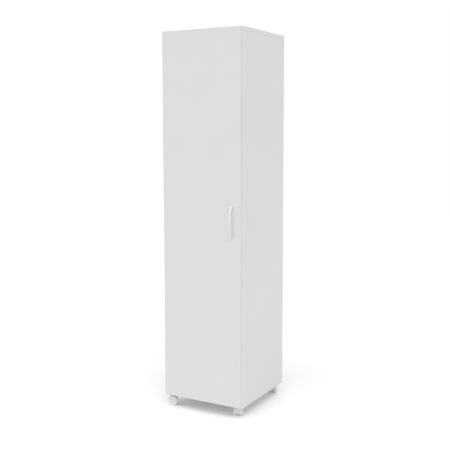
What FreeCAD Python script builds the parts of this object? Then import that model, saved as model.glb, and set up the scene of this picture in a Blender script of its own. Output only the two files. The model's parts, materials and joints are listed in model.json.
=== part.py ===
import FreeCAD, Part

import math
import os

import Sketcher

# Broom cupboard on castors. A carcass of melamine faced boards, joined by cams and dowels, holds one
# shelf. A full overlay door hangs on four concealed cup hinges at its left edge and has a bow handle.
#
# Frame: millimetres, +Z up, the floor at z = 0, the front looks along -Y, and the origin is under the
# middle of the whole cupboard, handle included. The carcass is centred on x = 0.

VECTOR = FreeCAD.Vector

DIMENSIONS = {
    # carcass boards
    "carcass_width": 400,
    "carcass_depth": 420,
    "side_height": 1667,
    "panel_thickness": 16,
    "top_thickness": 16,
    "top_overhang": 0.5,
    "castor_height": 49,
    "back_thickness": 3,
    "back_inset": 12,
    "groove_depth": 8,
    "groove_clearance": 0.2,
    "edge_round": 0.5,
    # carcass fittings: cams draw the bolts tight, and dowels keep the boards in line
    "fitting_inset": 55,
    "dowel_step": 32,
    "dowel_radius": 4,
    "dowel_length": 34,
    "dowel_face_depth": 11.5,
    "cam_radius": 7.4,
    "cam_thickness": 12,
    "cam_setback": 24,
    "cam_slot_width": 3,
    "cam_slot_reach": 4.4,
    "cam_slot_depth": 1.5,
    "bolt_radius": 3,
    "bolt_head_radius": 3.5,
    "bolt_head_length": 3,
    "bolt_thread_radius": 2.5,
    "bolt_thread_length": 11,
    "bore_clearance": 0.1,
    "seat_clearance": 0.3,
    # shelf and its pins
    "shelf_thickness": 16,
    "shelf_front_inset": 24,
    "shelf_clearance": 1,
    "shelf_level": 1330,
    "pin_pitch": 32,
    "pin_inset": 60,
    "pin_radius": 2.5,
    "pin_hole_depth": 9,
    "pin_reach": 9,
    # door and handle
    "door_thickness": 16,
    "door_gap": 1.8,
    "door_side_reveal": 1.5,
    "door_top_reveal": 3,
    "door_bottom_reveal": 9,
    "bumper_radius": 4,
    "bumper_crown_radius": 2.8,
    "bumper_inset": 60,
    "handle_inset": 42,
    "handle_level": 840,
    "handle_span": 128,
    "handle_overrun": 5,
    "handle_projection": 24,
    "handle_end_rise": 6.5,
    "handle_width": 10,
    "handle_thickness": 6,
    "handle_round": 2.8,
    "foot_radius": 4.5,
    "foot_bore_depth": 5,
    "screw_radius": 2,
    "screw_head_radius": 3.9,
    "screw_head_height": 2.4,
    # cup hinges, placed from the carcass front's outer left corner
    "hinge_end_inset": 100,
    "cup_radius": 17.4,
    "cup_wall": 0.8,
    "cup_depth": 11.5,
    "cup_edge_distance": 5,
    "cup_flange_width": 1.4,
    "cup_flange_thickness": 1.2,
    "cup_notch_depth": 1,
    "cup_screw_span": 45,
    "cup_screw_offset": 9.5,
    "cup_ear_radius": 5.5,
    "arm_pin_inset": 24,
    "arm_pin_lead": 3.5,
    "cup_pin_inset": 10.5,
    "cup_pin_lead": 5.5,
    "hinge_pin_radius": 1.25,
    "link_eye_radius": 2.2,
    "link_width": 9,
    "link_thickness": 1.8,
    "link_sag": 4,
    "pin_clearance": 0.05,
    "arm_wall": 1.5,
    "arm_play": 0.4,
    "arm_nose_radius": 3,
    "arm_reach": 64,
    "arm_height": 12,
    "arm_foot": 3.5,
    "plate_line": 37,
    "plate_screw_span": 32,
    "plate_thickness": 2.5,
    "plate_width": 17,
    "plate_length": 46,
    "plate_block_length": 36,
    "plate_screw_radius": 2.5,
    "plate_screw_length": 13,
    "arm_screw_length": 7,
    "wood_screw_radius": 1.8,
    "wood_screw_length": 12,
    "flat_head_radius": 3.2,
    "flat_head_height": 1.6,
    # twin wheel castors
    "castor_inset": 37,
    "castor_front_setback": 28,
    "castor_back_setback": 39,
    "castor_plate_width": 38,
    "castor_plate_thickness": 2,
    "castor_plate_round": 4,
    "castor_screw_span": 27,
    "kingpin_radius": 4,
    "kingpin_neck_radius": 3,
    "kingpin_length": 22,
    "swivel_gap": 0.5,
    "hub_radius": 5.5,
    "hub_length": 26,
    "trail": 18,
    "wheel_radius": 21,
    "wheel_width": 15,
    "wheel_round": 3.5,
    "wheel_dish": 1.2,
    "wheel_dish_radius": 15,
    "wheel_cap_radius": 6,
    "wheel_gap": 0.6,
    "web_thickness": 11,
    "web_radius": 18.5,
    "hood_clearance": 1,
    "hood_thickness": 1.5,
    "hood_skirt": 8,
    "axle_radius": 2.5,
    "axle_entry": 11,
    # castor directions at rest: 0 trails to the right, 90 to the back
    "turn_front_left": 207,
    "turn_front_right": 110,
    "turn_back_left": 330,
    "turn_back_right": 109,
}

HINGE_NAMES = ("bottom", "lower", "upper", "top")
CASTOR_NAMES = ("front_left", "front_right", "back_left", "back_right")
PIN_ROWS = range(-2, 3)

doc = FreeCAD.newDocument("BroomCupboard")
sheet = doc.addObject("Spreadsheet::Sheet", "dims")
for row, (alias, number) in enumerate(DIMENSIONS.items(), start=1):
    sheet.set(f"A{row}", alias)
    sheet.set(f"B{row}", str(number))
    sheet.setAlias(f"B{row}", alias)
doc.recompute()

# Places that several sub-parts share, as formulas of the sheet's sizes.
LEFT = "(-dims.carcass_width / 2)"
FRONT = "((dims.handle_projection + dims.door_thickness + dims.door_gap - dims.carcass_depth) / 2)"
BOTTOM = "dims.castor_height"
INNER_WIDTH = "(dims.carcass_width - 2 * dims.panel_thickness)"
INNER_HEIGHT = "(dims.side_height - dims.panel_thickness)"
MID_PANEL = "(dims.panel_thickness / 2)"

GROOVE_WIDTH = "(dims.back_thickness + 2 * dims.groove_clearance)"
GROOVE_FRONT = f"(dims.carcass_depth - dims.back_inset - {GROOVE_WIDTH})"
BACK_EDGE_HIDDEN = "(dims.groove_depth - dims.groove_clearance)"

FITTING_LINES = ("dims.fitting_inset", f"({GROOVE_FRONT} - dims.fitting_inset)")
DOWEL_LINES = (
    "(dims.fitting_inset + dims.dowel_step)",
    f"({GROOVE_FRONT} - dims.fitting_inset - dims.dowel_step)",
)
DOWEL_END_DEPTH = "(dims.dowel_length - dims.dowel_face_depth + dims.seat_clearance)"
CAM_BORE_DEPTH = "(dims.cam_thickness + dims.seat_clearance)"
PIN_LINES = ("dims.pin_inset", f"({GROOVE_FRONT} - dims.pin_inset)")

DOOR_WIDTH = "(dims.carcass_width - 2 * dims.door_side_reveal)"
DOOR_HEIGHT = (
    "(dims.side_height + dims.top_thickness - dims.door_top_reveal - dims.door_bottom_reveal)"
)
DOOR_INNER = f"({FRONT} - dims.door_gap)"
DOOR_BOTTOM = f"({BOTTOM} + dims.door_bottom_reveal)"
CUP_LINE = "(dims.cup_edge_distance + dims.cup_radius)"
CUP_SCREW_LINE = f"({CUP_LINE} + dims.cup_screw_offset)"
HANDLE_LINE = f"({DOOR_WIDTH} - dims.handle_inset)"
HANDLE_RISE = "(dims.handle_level - dims.door_bottom_reveal)"


def hinge_rise(number):
    """Height of one hinge above the door's lower edge."""
    share = number / (len(HINGE_NAMES) - 1)
    return f"(dims.hinge_end_inset + {share} * ({DOOR_HEIGHT} - 2 * dims.hinge_end_inset))"


HINGE_RISES = [hinge_rise(number) for number in range(len(HINGE_NAMES))]

CASTOR_LINES = {
    "left": "dims.castor_inset",
    "right": "(dims.carcass_width - dims.castor_inset)",
    "front": "dims.castor_front_setback",
    "back": "(dims.carcass_depth - dims.castor_back_setback)",
}
SCREW_CORNERS = [(across, along) for across in (-1, 1) for along in (-1, 1)]


def castor_place(name):
    """The kingpin's place on the carcass, from its left side and from its front."""
    end, side = name.split("_")
    return CASTOR_LINES[side], CASTOR_LINES[end]


def size(formula):
    """The present value of a formula, for choices that need a number."""
    return float(sheet.evalExpression(formula))


# Building blocks for bodies and sketches.


def place(thing, x="0", y="0", z="0"):
    """Put a thing's own origin at a point given by formulas."""
    for axis, formula in zip("xyz", (x, y, z)):
        thing.setExpression(f"Placement.Base.{axis}", formula)


def facing(direction, side=(0, 0, 0)):
    """The rotation that points +Z along a direction and, where it matters, +Y along a side."""
    if any(side):
        return FreeCAD.Rotation(VECTOR(), VECTOR(*side), VECTOR(*direction), "ZYX")
    return FreeCAD.Rotation(VECTOR(0, 0, 1), VECTOR(*direction))


def turn(thing, angle):
    """Turn a thing about the vertical by a formula in degrees."""
    thing.Placement.Rotation = FreeCAD.Rotation(VECTOR(0, 0, 1), 1)
    thing.setExpression("Placement.Rotation.Angle", angle)


def new_body(name):
    """A sub-part of its own, with its name as its label."""
    body = doc.addObject("PartDesign::Body", name)
    body.Label = name
    return body


def new_sketch(body, role, offset="0", rise="0"):
    """A sketch on one of the body's own planes, shifted along its normal and its upward axis."""
    sketch = body.newObject("Sketcher::SketchObject", f"{body.Name}_sketch")
    plane = next(item for item in body.Origin.OriginFeatures if item.Role == role)
    sketch.AttachmentSupport = [(plane, "")]
    sketch.MapMode = "FlatFace"
    sketch.setExpression("AttachmentOffset.Base.y", rise)
    sketch.setExpression("AttachmentOffset.Base.z", offset)
    return sketch


def dimension(sketch, constraint, formula):
    """Add a constraint and let a formula drive it."""
    number = sketch.addConstraint(constraint)
    sketch.setExpression(f"Constraints[{number}]", formula)


def pin_point(sketch, geometry, end, x, y):
    """Hold one point of a sketch at formulas counted from the sketch's origin."""
    dimension(sketch, Sketcher.Constraint("DistanceX", -1, 1, geometry, end, 1.0), x)
    dimension(sketch, Sketcher.Constraint("DistanceY", -1, 1, geometry, end, 1.0), y)


def draw_polygon(sketch, points):
    """Draw a closed outline of straight edges through points given by formulas."""
    first = sketch.GeometryCount
    count = len(points)
    for number in range(count):
        start = VECTOR(number, number**2, 0)
        end = VECTOR(number + 1, (number + 1) ** 2, 0)
        sketch.addGeometry(Part.LineSegment(start, end))
    for number in range(count):
        following = first + (number + 1) % count
        sketch.addConstraint(Sketcher.Constraint("Coincident", first + number, 2, following, 1))
    for number, (x, y) in enumerate(points):
        pin_point(sketch, first + number, 1, x, y)


def draw_rectangle(sketch, x, y, width, height):
    """Draw a rectangle from its lower left corner."""
    right = f"{x} + {width}"
    high = f"{y} + {height}"
    draw_polygon(sketch, [(x, y), (right, y), (right, high), (x, high)])


def draw_circle(sketch, x, y, radius):
    """Draw a circle about a point given by formulas."""
    number = sketch.addGeometry(Part.Circle(VECTOR(5, 5, 0), VECTOR(0, 0, 1), 1.0), False)
    pin_point(sketch, number, 3, x, y)
    dimension(sketch, Sketcher.Constraint("Radius", number, 1.0), radius)


def pad(body, sketch, length, backwards=False, midplane=False):
    """Raise a sketch into a solid: along its normal, against it, or half each way."""
    feature = body.newObject("PartDesign::Pad", f"{body.Name}_pad")
    feature.Profile = sketch
    feature.Reversed = backwards
    feature.Midplane = midplane
    feature.setExpression("Length", length)
    return feature


def pocket(body, sketch, depth, forwards=False, midplane=False):
    """Cut a sketch into the solid: against its normal, along it, or half each way."""
    feature = body.newObject("PartDesign::Pocket", f"{body.Name}_pocket")
    feature.Profile = sketch
    feature.Reversed = forwards
    feature.Midplane = midplane
    feature.setExpression("Length", depth)
    return feature


def drill(body, role, offset, places, radius, depth, forwards=False):
    """Cut equal round holes at places in a plane."""
    sketch = new_sketch(body, role, offset)
    for x, y in places:
        draw_circle(sketch, x, y, radius)
    return pocket(body, sketch, depth, forwards)


def board(name, role, width, height, thickness):
    """A board with softened edges, its lower left corner at its own origin."""
    body = new_body(name)
    sketch = new_sketch(body, role)
    draw_rectangle(sketch, "0", "0", width, height)
    block = pad(body, sketch, thickness)
    doc.recompute()
    edges = body.newObject("PartDesign::Fillet", f"{name}_edges")
    edges.Base = (block, [""])
    edges.UseAllEdges = True
    edges.setExpression("Radius", "dims.edge_round")
    return body


def revolve(body, sketch, axis, angle="360"):
    """Turn a sketch about one of its own axes, half of the angle each way."""
    feature = body.newObject("PartDesign::Revolution", f"{body.Name}_turning")
    feature.Profile = sketch
    feature.ReferenceAxis = (sketch, [axis])
    feature.Midplane = True
    feature.setExpression("Angle", angle)
    return feature


def round_rims(body, feature, radii, rounding):
    """Round the edges of a turned feature that run at given radii."""
    doc.recompute()
    rims = []
    for number, edge in enumerate(feature.Shape.Edges, start=1):
        radius = getattr(edge.Curve, "Radius", 0)
        if any(math.isclose(radius, size(wanted), abs_tol=1e-6) for wanted in radii):
            rims.append(f"Edge{number}")
    fillet = body.newObject("PartDesign::Fillet", f"{body.Name}_rims")
    fillet.Base = (feature, rims)
    fillet.setExpression("Radius", rounding)
    return fillet


def turned_body(name, outline):
    """A round piece about its own Z axis, from half of its outline."""
    body = new_body(name)
    sketch = new_sketch(body, "XZ_Plane")
    draw_polygon(sketch, outline)
    revolve(body, sketch, "V_Axis")
    return body


def screw_pattern(name, radius, length, head_radius, head_height):
    """A screw that stands on its origin: the head above it, the shank below it."""
    outline = [
        ("0", f"-({length})"),
        (radius, f"-({length})"),
        (radius, "0"),
        (head_radius, "0"),
        (head_radius, head_height),
        ("0", head_height),
    ]
    return turned_body(name, outline)


def set_of(name, pattern, seats):
    """One node of equal pieces: a copy of the pattern at each seat, turned as the seat says."""
    copies = []
    for number, (x, y, z, rotation) in enumerate(seats):
        copy = doc.addObject("App::Link", f"{name}_{number}")
        copy.LinkedObject = pattern
        copy.Placement.Rotation = rotation
        place(copy, x, y, z)
        copies.append(copy)
    group = doc.addObject("Part::Compound", name)
    group.Label = name
    group.Links = copies
    return group


# Carcass boards.


def side_panel(name, is_left):
    """A side board. Its inner face takes the fittings, the shelf pins and the back's groove."""
    body = board(name, "YZ_Plane", "dims.carcass_depth", "dims.side_height", "dims.panel_thickness")
    inner = "dims.panel_thickness" if is_left else "0"
    inward = not is_left

    groove = new_sketch(body, "YZ_Plane", inner)
    draw_rectangle(groove, GROOVE_FRONT, "0", GROOVE_WIDTH, "dims.side_height")
    pocket(body, groove, "dims.groove_depth", inward)

    cam_level = "(dims.side_height - dims.cam_setback)"
    cams = [(line, cam_level) for line in FITTING_LINES]
    cam_bore = "dims.cam_radius + dims.bore_clearance"
    drill(body, "YZ_Plane", inner, cams, cam_bore, CAM_BORE_DEPTH, inward)

    bolts = [(MID_PANEL, line) for line in FITTING_LINES]
    bolt_bore = "dims.bolt_head_radius + dims.bore_clearance"
    drill(body, "XY_Plane", "dims.side_height", bolts, bolt_bore, "dims.cam_setback")

    dowel_bore = "dims.dowel_radius + dims.pin_clearance"
    top_dowels = [(MID_PANEL, line) for line in DOWEL_LINES]
    drill(body, "XY_Plane", "dims.side_height", top_dowels, dowel_bore, DOWEL_END_DEPTH)

    face_depth = "dims.dowel_face_depth + dims.seat_clearance"
    low_dowels = [(line, MID_PANEL) for line in DOWEL_LINES]
    drill(body, "YZ_Plane", inner, low_dowels, dowel_bore, face_depth, inward)

    thread_bore = "dims.bolt_thread_radius + dims.pin_clearance"
    thread_depth = "dims.bolt_thread_length + dims.seat_clearance"
    low_bolts = [(line, MID_PANEL) for line in FITTING_LINES]
    drill(body, "YZ_Plane", inner, low_bolts, thread_bore, thread_depth, inward)

    pins = [
        (line, f"dims.shelf_level + {step} * dims.pin_pitch") for line in PIN_LINES for step in PIN_ROWS
    ]
    pin_bore = "dims.pin_radius + dims.pin_clearance"
    drill(body, "YZ_Plane", inner, pins, pin_bore, "dims.pin_hole_depth + dims.seat_clearance", inward)

    if is_left:
        plate_bore = "dims.plate_screw_radius + dims.pin_clearance"
        plate_depth = "dims.plate_screw_length - dims.plate_thickness + dims.seat_clearance"
        plates = [
            ("dims.plate_line", f"dims.door_bottom_reveal + {rise} + {half} * dims.plate_screw_span")
            for rise in HINGE_RISES
            for half in (-0.5, 0.5)
        ]
        drill(body, "YZ_Plane", inner, plates, plate_bore, plate_depth, inward)

    shift = "0" if is_left else "dims.carcass_width - dims.panel_thickness"
    place(body, f"{LEFT} + {shift}", FRONT, BOTTOM)
    return body


def top_panel():
    """The top board. It lies on both sides and stands out past them a little."""
    width = "(dims.carcass_width + 2 * dims.top_overhang)"
    body = board("top_panel", "XY_Plane", width, "dims.carcass_depth", "dims.top_thickness")

    groove = new_sketch(body, "XY_Plane")
    start = "dims.top_overhang + dims.panel_thickness - dims.groove_depth"
    draw_rectangle(groove, start, GROOVE_FRONT, f"{INNER_WIDTH} + 2 * dims.groove_depth", GROOVE_WIDTH)
    pocket(body, groove, "dims.groove_depth", forwards=True)

    near = f"dims.top_overhang + {MID_PANEL}"
    far = f"dims.top_overhang + dims.carcass_width - {MID_PANEL}"
    bolts = [(column, line) for column in (near, far) for line in FITTING_LINES]
    thread_bore = "dims.bolt_thread_radius + dims.pin_clearance"
    thread_depth = "dims.bolt_thread_length + dims.seat_clearance"
    drill(body, "XY_Plane", "0", bolts, thread_bore, thread_depth, forwards=True)

    dowels = [(column, line) for column in (near, far) for line in DOWEL_LINES]
    dowel_bore = "dims.dowel_radius + dims.pin_clearance"
    face_depth = "dims.dowel_face_depth + dims.seat_clearance"
    drill(body, "XY_Plane", "0", dowels, dowel_bore, face_depth, forwards=True)
    place(body, f"{LEFT} - dims.top_overhang", FRONT, f"{BOTTOM} + dims.side_height")
    return body


def bottom_panel():
    """The bottom board, between the sides. Its underside takes the cams and the castor screws."""
    body = board("bottom_panel", "XY_Plane", INNER_WIDTH, "dims.carcass_depth", "dims.panel_thickness")

    groove = new_sketch(body, "XY_Plane", "dims.panel_thickness")
    draw_rectangle(groove, "0", GROOVE_FRONT, INNER_WIDTH, GROOVE_WIDTH)
    pocket(body, groove, "dims.groove_depth")

    columns = ("dims.cam_setback", f"({INNER_WIDTH} - dims.cam_setback)")
    cams = [(column, line) for column in columns for line in FITTING_LINES]
    cam_bore = "dims.cam_radius + dims.bore_clearance"
    drill(body, "XY_Plane", "0", cams, cam_bore, CAM_BORE_DEPTH, forwards=True)

    bolts = [(line, MID_PANEL) for line in FITTING_LINES]
    bolt_bore = "dims.bolt_head_radius + dims.bore_clearance"
    drill(body, "YZ_Plane", "0", bolts, bolt_bore, "dims.cam_setback", forwards=True)
    drill(body, "YZ_Plane", INNER_WIDTH, bolts, bolt_bore, "dims.cam_setback")

    dowels = [(line, MID_PANEL) for line in DOWEL_LINES]
    dowel_bore = "dims.dowel_radius + dims.pin_clearance"
    drill(body, "YZ_Plane", "0", dowels, dowel_bore, DOWEL_END_DEPTH, forwards=True)
    drill(body, "YZ_Plane", INNER_WIDTH, dowels, dowel_bore, DOWEL_END_DEPTH)

    screws = []
    for name in CASTOR_NAMES:
        x, y = castor_place(name)
        for across, along in SCREW_CORNERS:
            column = f"{x} - dims.panel_thickness + {across} * dims.castor_screw_span / 2"
            screws.append((column, f"{y} + {along} * dims.castor_screw_span / 2"))
    screw_bore = "dims.wood_screw_radius + dims.pin_clearance"
    screw_depth = "dims.wood_screw_length - dims.castor_plate_thickness + dims.seat_clearance"
    drill(body, "XY_Plane", "0", screws, screw_bore, screw_depth, forwards=True)
    place(body, f"{LEFT} + dims.panel_thickness", FRONT, BOTTOM)
    return body


def back_panel():
    """The thin back board, held in a groove all round."""
    body = new_body("back_panel")
    sketch = new_sketch(body, "XZ_Plane")
    width = f"({INNER_WIDTH} + 2 * {BACK_EDGE_HIDDEN})"
    height = f"({INNER_HEIGHT} + 2 * {BACK_EDGE_HIDDEN})"
    draw_rectangle(sketch, "0", "0", width, height)
    pad(body, sketch, "dims.back_thickness")
    x = f"{LEFT} + dims.panel_thickness - {BACK_EDGE_HIDDEN}"
    y = f"{FRONT} + {GROOVE_FRONT} + dims.groove_clearance + dims.back_thickness"
    z = f"{BOTTOM} + dims.panel_thickness - {BACK_EDGE_HIDDEN}"
    place(body, x, y, z)
    return body


def shelf():
    """The shelf above the broom space. It lies on its four pins."""
    width = f"({INNER_WIDTH} - 2 * dims.shelf_clearance)"
    depth = f"({GROOVE_FRONT} - dims.shelf_front_inset - dims.shelf_clearance)"
    body = board("shelf", "XY_Plane", width, depth, "dims.shelf_thickness")
    x = f"{LEFT} + dims.panel_thickness + dims.shelf_clearance"
    z = f"{BOTTOM} + dims.shelf_level + dims.pin_radius"
    place(body, x, f"{FRONT} + dims.shelf_front_inset", z)
    return body


# Carcass fittings.


def shelf_pins():
    """Four plain steel pins in the side boards."""
    outline = [
        ("0", "-dims.pin_hole_depth"),
        ("dims.pin_radius", "-dims.pin_hole_depth"),
        ("dims.pin_radius", "dims.pin_reach"),
        ("0", "dims.pin_reach"),
    ]
    pattern = turned_body("shelf_pin_pattern", outline)
    seats = []
    for side in (-1, 1):
        for line in PIN_LINES:
            x = f"{side} * {INNER_WIDTH} / 2"
            z = f"{BOTTOM} + dims.shelf_level"
            seats.append((x, f"{FRONT} + {line}", z, facing((-side, 0, 0))))
    return set_of("shelf_pins", pattern, seats)


def joint_seats(lines):
    """Seats on the board joints, at the face that takes the thread and looking into the board's end."""
    seats = []
    for side in (-1, 1):
        for line in lines:
            y = f"{FRONT} + {line}"
            top_x = f"{side} * (dims.carcass_width / 2 - {MID_PANEL})"
            seats.append((top_x, y, f"{BOTTOM} + dims.side_height", facing((0, 0, -1))))
            low_x = f"{side} * {INNER_WIDTH} / 2"
            seats.append((low_x, y, f"{BOTTOM} + {MID_PANEL}", facing((-side, 0, 0))))
    return seats


def dowels():
    """Eight beech dowels across the board joints."""
    outline = [
        ("0", "-dims.dowel_face_depth"),
        ("dims.dowel_radius - dims.edge_round", "-dims.dowel_face_depth"),
        ("dims.dowel_radius", "-dims.dowel_face_depth + dims.edge_round"),
        ("dims.dowel_radius", "dims.dowel_length - dims.dowel_face_depth - dims.edge_round"),
        ("dims.dowel_radius - dims.edge_round", "dims.dowel_length - dims.dowel_face_depth"),
        ("0", "dims.dowel_length - dims.dowel_face_depth"),
    ]
    return set_of("dowels", turned_body("dowel_pattern", outline), joint_seats(DOWEL_LINES))


def cam_bolts():
    """Eight cam bolts: the thread in a board's face, the head inside the cam."""
    neck = "dims.cam_setback - dims.bolt_head_length"
    thin = "dims.bolt_thread_radius - dims.cam_slot_depth / 2"
    outline = [
        ("0", "-dims.bolt_thread_length"),
        ("dims.bolt_thread_radius", "-dims.bolt_thread_length"),
        ("dims.bolt_thread_radius", "0"),
        ("dims.bolt_radius", "0"),
        ("dims.bolt_radius", f"{neck} - 2 * dims.bolt_head_length"),
        (thin, f"{neck} - 2 * dims.bolt_head_length"),
        (thin, neck),
        ("dims.bolt_head_radius", neck),
        ("dims.bolt_head_radius", "dims.cam_setback"),
        ("0", "dims.cam_setback"),
    ]
    return set_of("cam_bolts", turned_body("cam_bolt_pattern", outline), joint_seats(FITTING_LINES))


def cam_locks():
    """Eight cams: a thick disc with a cross slot, open on one side for the bolt's head."""
    pattern = new_body("cam_pattern")
    disc = new_sketch(pattern, "XY_Plane")
    draw_circle(disc, "0", "0", "dims.cam_radius")
    pad(pattern, disc, "dims.cam_thickness")

    mouth_width = "(2 * (dims.bolt_head_radius + dims.bore_clearance))"
    mouth = new_sketch(pattern, "XZ_Plane", "dims.bore_clearance")
    mouth_low = f"{CAM_BORE_DEPTH} - {MID_PANEL} - {mouth_width} / 2"
    draw_rectangle(mouth, f"-{mouth_width} / 2", mouth_low, mouth_width, mouth_width)
    pocket(pattern, mouth, "dims.cam_radius + dims.bore_clearance")

    half = "dims.cam_slot_width / 2"
    for width, height in (("dims.cam_slot_reach", half), (half, "dims.cam_slot_reach")):
        slot = new_sketch(pattern, "XY_Plane", "dims.cam_thickness")
        draw_rectangle(slot, f"-{width}", f"-{height}", f"2 * {width}", f"2 * {height}")
        pocket(pattern, slot, "dims.cam_slot_depth")

    seats = []
    for side in (-1, 1):
        for line in FITTING_LINES:
            y = f"{FRONT} + {line}"
            top_x = f"{side} * ({INNER_WIDTH} / 2 + {CAM_BORE_DEPTH})"
            top_z = f"{BOTTOM} + dims.side_height - dims.cam_setback"
            seats.append((top_x, y, top_z, facing((-side, 0, 0), (0, 0, 1))))
            low_x = f"{side} * ({INNER_WIDTH} / 2 - dims.cam_setback)"
            low_z = f"{BOTTOM} + {CAM_BORE_DEPTH}"
            seats.append((low_x, y, low_z, facing((0, 0, -1), (side, 0, 0))))
    return set_of("cam_locks", pattern, seats)


# Door and handle.

HANDLE_LENGTH = "(dims.handle_span + 2 * dims.handle_overrun)"
BOW_RISE = "(dims.handle_projection - dims.handle_end_rise)"
BOW_RADIUS = f"(({HANDLE_LENGTH}^2 / 4 + {BOW_RISE}^2) / (2 * {BOW_RISE}))"
BOW_CENTRE = f"({BOW_RADIUS} - dims.handle_projection)"


def door_panel():
    """The door board. Its origin is at the lower left corner of its inner face."""
    body = board("door_panel", "XZ_Plane", DOOR_WIDTH, DOOR_HEIGHT, "dims.door_thickness")

    cups = [(CUP_LINE, rise) for rise in HINGE_RISES]
    cup_bore = "dims.cup_radius + dims.bore_clearance"
    drill(body, "XZ_Plane", "0", cups, cup_bore, "dims.cup_depth + dims.bore_clearance", forwards=True)

    screws = [
        (CUP_SCREW_LINE, f"{rise} + {half} * dims.cup_screw_span")
        for rise in HINGE_RISES
        for half in (-0.5, 0.5)
    ]
    screw_bore = "dims.wood_screw_radius + dims.pin_clearance"
    screw_depth = "dims.wood_screw_length - dims.cup_flange_thickness + dims.seat_clearance"
    drill(body, "XZ_Plane", "0", screws, screw_bore, screw_depth, forwards=True)

    grips = [(HANDLE_LINE, f"{HANDLE_RISE} + {half} * dims.handle_span") for half in (-0.5, 0.5)]
    grip_bore = "dims.screw_radius + dims.bore_clearance"
    drill(body, "XZ_Plane", "0", grips, grip_bore, "dims.door_thickness", forwards=True)
    place(body, f"{LEFT} + dims.door_side_reveal", DOOR_INNER, DOOR_BOTTOM)
    return body


def handle():
    """The bow handle: a flat bar bent to an arc and cut square, with two feet on the door's face."""
    body = new_body("handle")
    section = new_sketch(body, "XY_Plane", rise=BOW_CENTRE)
    left = "-dims.handle_width / 2"
    draw_rectangle(section, left, f"-{BOW_RADIUS}", "dims.handle_width", "dims.handle_thickness")
    angle = f"2 * acos({BOW_CENTRE} / {BOW_RADIUS}) / 1 deg"
    bow = revolve(body, section, "H_Axis", angle)
    round_rims(body, bow, [BOW_RADIUS, f"{BOW_RADIUS} - dims.handle_thickness"], "dims.handle_round")

    behind = new_sketch(body, "XZ_Plane")
    low = f"-{HANDLE_LENGTH}"
    draw_rectangle(behind, "-dims.handle_width", low, "2 * dims.handle_width", f"2 * {HANDLE_LENGTH}")
    pocket(body, behind, "dims.handle_projection")
    beyond = new_sketch(body, "XZ_Plane")
    for low in (f"{HANDLE_LENGTH} / 2", f"-1.5 * {HANDLE_LENGTH}"):
        draw_rectangle(beyond, "-dims.handle_width", low, "2 * dims.handle_width", HANDLE_LENGTH)
    pocket(body, beyond, "2 * dims.handle_projection", midplane=True)

    feet = new_sketch(body, "XZ_Plane")
    for half in (-0.5, 0.5):
        draw_circle(feet, "0", f"{half} * dims.handle_span", "dims.foot_radius")
    middle = f"({BOW_RADIUS} - dims.handle_thickness / 2)"
    pad(body, feet, f"sqrt({middle}^2 - dims.handle_span^2 / 4) - {BOW_CENTRE}")

    bores = [("0", f"{half} * dims.handle_span") for half in (-0.5, 0.5)]
    bore = "dims.screw_radius + dims.pin_clearance"
    drill(body, "XZ_Plane", "0", bores, bore, "dims.foot_bore_depth", forwards=True)
    x = f"{LEFT} + dims.door_side_reveal + {HANDLE_LINE}"
    place(body, x, f"{DOOR_INNER} - dims.door_thickness", f"{DOOR_BOTTOM} + {HANDLE_RISE}")
    return body


def handle_screws():
    """Two machine screws from inside the door into the handle's feet."""
    length = "dims.door_thickness + dims.foot_bore_depth - dims.seat_clearance"
    pattern = screw_pattern(
        "handle_screw_pattern", "dims.screw_radius", length,
        "dims.screw_head_radius", "dims.screw_head_height",
    )
    x = f"{LEFT} + dims.door_side_reveal + {HANDLE_LINE}"
    seats = []
    for half in (-0.5, 0.5):
        z = f"{DOOR_BOTTOM} + {HANDLE_RISE} + {half} * dims.handle_span"
        seats.append((x, DOOR_INNER, z, facing((0, 1, 0))))
    return set_of("handle_screws", pattern, seats)


def door_bumpers():
    """Two soft buttons on the door's inner face, against the edge of the right side board."""
    outline = [
        ("0", "0"),
        ("dims.bumper_radius", "0"),
        ("dims.bumper_radius", "(dims.door_gap - dims.seat_clearance) / 2"),
        ("dims.bumper_crown_radius", "dims.door_gap - dims.seat_clearance"),
        ("0", "dims.door_gap - dims.seat_clearance"),
    ]
    pattern = turned_body("bumper_pattern", outline)
    x = f"-{LEFT} - {MID_PANEL}"
    heights = (
        f"{DOOR_BOTTOM} + dims.bumper_inset",
        f"{DOOR_BOTTOM} + {DOOR_HEIGHT} - dims.bumper_inset",
    )
    seats = [(x, DOOR_INNER, z, facing((0, 1, 0))) for z in heights]
    return set_of("door_bumpers", pattern, seats)


# Cup hinges. Arm, link and plate have their origin on the carcass corner at the hinge's height, so
# their plan is drawn with x from the carcass's outer side and y from its front plane.

ARM_PIN = ("dims.arm_pin_inset", "(-dims.arm_pin_lead)")
CUP_PIN = ("dims.cup_pin_inset", "(-dims.cup_pin_lead)")
ARM_LOW = "(dims.panel_thickness + dims.arm_foot)"
ARM_HIGH = "(dims.panel_thickness + dims.arm_height)"
ARM_INSIDE = "(dims.link_width + 2 * dims.arm_play)"
ARM_OUTSIDE = f"({ARM_INSIDE} + 2 * dims.arm_wall)"


def place_hinge_piece(body, number):
    """Put a piece that is drawn from the carcass corner at its hinge's height."""
    place(body, LEFT, FRONT, f"{DOOR_BOTTOM} + {HINGE_RISES[number]}")
    return body


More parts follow.
